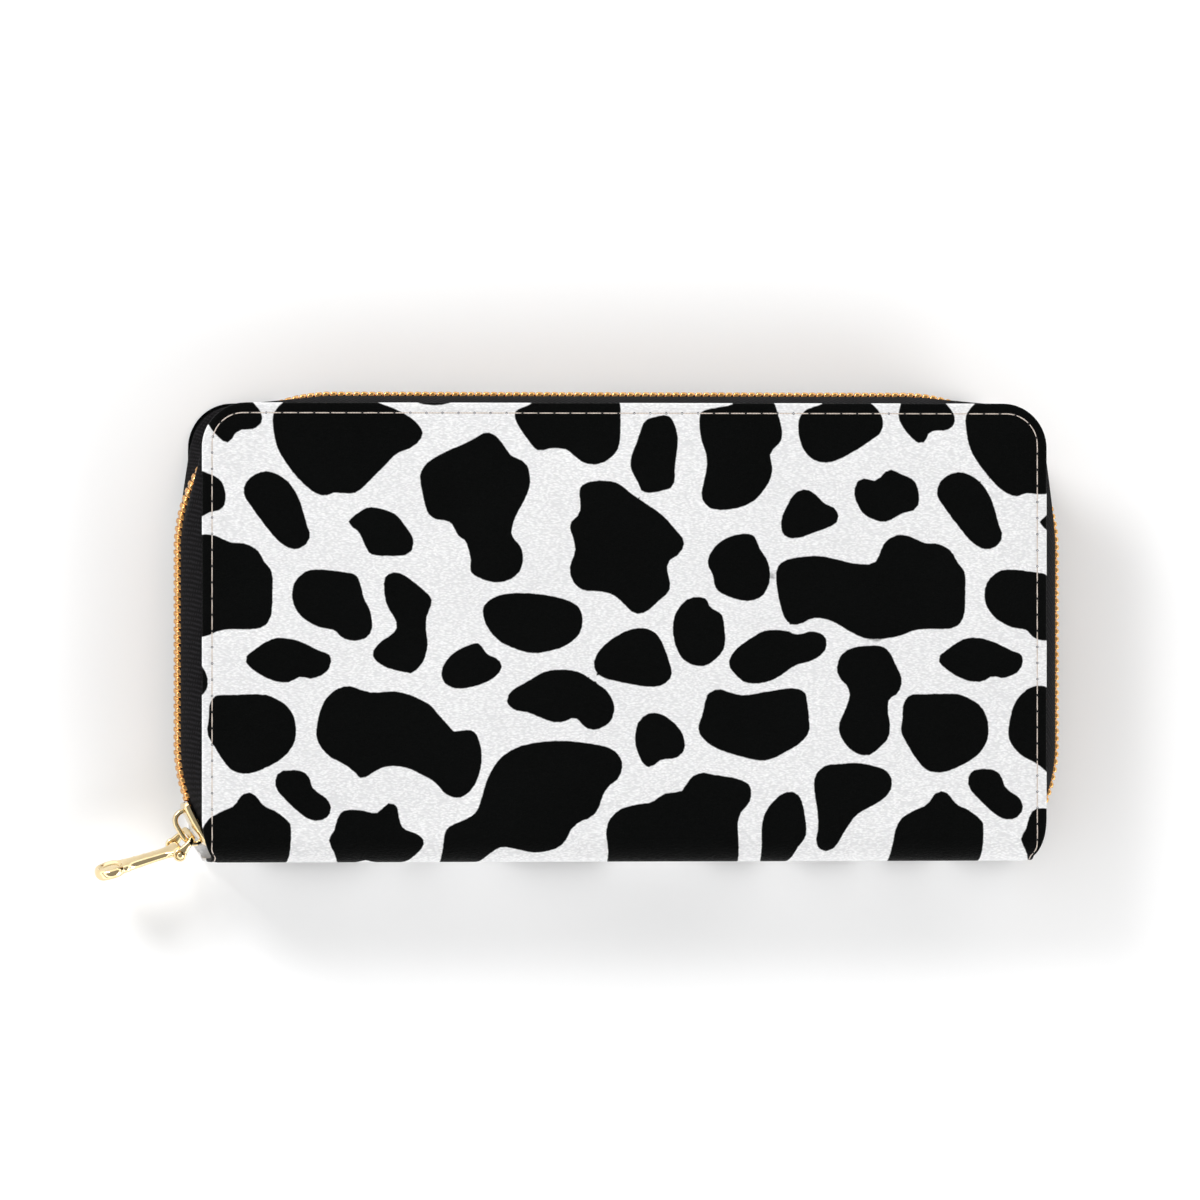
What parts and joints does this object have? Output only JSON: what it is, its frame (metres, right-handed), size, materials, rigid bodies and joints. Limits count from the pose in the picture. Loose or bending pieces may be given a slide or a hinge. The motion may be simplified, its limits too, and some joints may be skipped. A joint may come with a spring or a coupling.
{
  "type": "zip around wallet",
  "caption": "Long flat zip around wallet: two padded leather covers, metal zip round three sides with a hanging pull, card slots and a zipped coin pocket.",
  "frame": {"origin": "middle of the back cover's flat outer face, which the wallet lies on", "axes": "+X along the wallet's length, +Y from the spine to the top edge, +Z through the thickness from the back cover to the front cover"},
  "size_m": [0.2184, 0.1095, 0.025],
  "materials": {
    "cover_leather": "satin pebbled white with black cow spots",
    "greyboard": "matte",
    "lining_fabric": "matte woven",
    "inner_leather": "satin",
    "zip_tape": "matte twill",
    "zip_teeth": "polished",
    "pale_gold": "polished plating",
    "coil_plastic": "satin"
  },
  "bodies": {
    "back_cover": {"back_cover_skin": "cover_leather", "back_cover_board": "greyboard", "back_cover_lining": "lining_fabric", "back_card_leaf_1": "inner_leather", "back_card_leaf_2": "inner_leather", "back_card_leaf_3": "inner_leather", "back_card_leaf_4": "inner_leather", "back_zip_tape": "zip_tape", "back_zip_teeth": "zip_teeth", "back_top_stop": "zip_teeth", "left_gusset_back": "lining_fabric", "right_gusset_back": "lining_fabric", "zip_bottom_stop": "zip_teeth"},
    "front_cover": {"front_cover_skin": "cover_leather", "front_cover_board": "greyboard", "front_cover_lining": "lining_fabric", "front_card_leaf_1": "inner_leather", "front_card_leaf_2": "inner_leather", "front_card_leaf_3": "inner_leather", "front_card_leaf_4": "inner_leather", "front_zip_tape": "zip_tape", "front_zip_teeth": "zip_teeth", "front_top_stop": "zip_teeth", "left_gusset_front": "lining_fabric", "right_gusset_front": "lining_fabric"},
    "coin_pocket": {"back_coin_panel": "inner_leather", "back_coin_tape": "zip_tape", "back_coin_coil": "coil_plastic", "front_coin_panel": "inner_leather", "front_coin_tape": "zip_tape", "front_coin_coil": "coil_plastic", "coin_binding": "lining_fabric", "coin_zip_stop_left": "pale_gold", "coin_zip_stop_right": "pale_gold"},
    "slider": {"slider": "pale_gold"},
    "pull_link": {"pull_shackle": "pale_gold", "pull_pin": "pale_gold"},
    "pull_tab": {"pull_tab": "pale_gold"},
    "coin_slider": {"coin_slider": "pale_gold"},
    "coin_pull": {"coin_pull": "pale_gold"}
  },
  "joints": [
    {"name": "cover_open", "type": "hinge", "parent": "coin_pocket", "child": "front_cover", "pos_m": [0, -0.0515, 0.0125], "axis": [1, 0, 0], "range_deg": [0, 40]},
    {"name": "coin_pocket_swing", "type": "hinge", "parent": "back_cover", "child": "coin_pocket", "pos_m": [0, -0.0515, 0.0125], "axis": [1, 0, 0], "range_deg": [0, 40]},
    {"name": "slider_run", "type": "hinge", "parent": "back_cover", "child": "slider", "pos_m": [-0.0648, -0.0254, 0.0125], "axis": [0, 0, -1], "range_deg": [0, 26], "deforming": ["back_zip_teeth", "front_zip_teeth"]},
    {"name": "pull_swing", "type": "hinge", "parent": "slider", "child": "pull_link", "pos_m": [-0.09684, -0.04518, 0.0125], "axis": [0.08, -0.2601, 0.9623], "range_deg": [-50, 50]},
    {"name": "pull_tab_swing", "type": "hinge", "parent": "pull_link", "child": "pull_tab", "pos_m": [-0.09969, -0.04871, 0.01178], "axis": [0.08, -0.2601, 0.9623], "range_deg": [-40, 55]},
    {"name": "coin_slider_run", "type": "slide", "parent": "coin_pocket", "child": "coin_slider", "axis": [1, 0, 0], "range_m": [0, 0.15]},
    {"name": "coin_pull_swing", "type": "hinge", "parent": "coin_slider", "child": "coin_pull", "pos_m": [-0.0763, 0.03965, 0.0125], "axis": [0, 0, 1], "range_deg": [0, 90]}
  ],
  "couplings": [
    {"joint": "coin_pocket_swing", "follows": "cover_open", "ratio": 1}
  ]
}
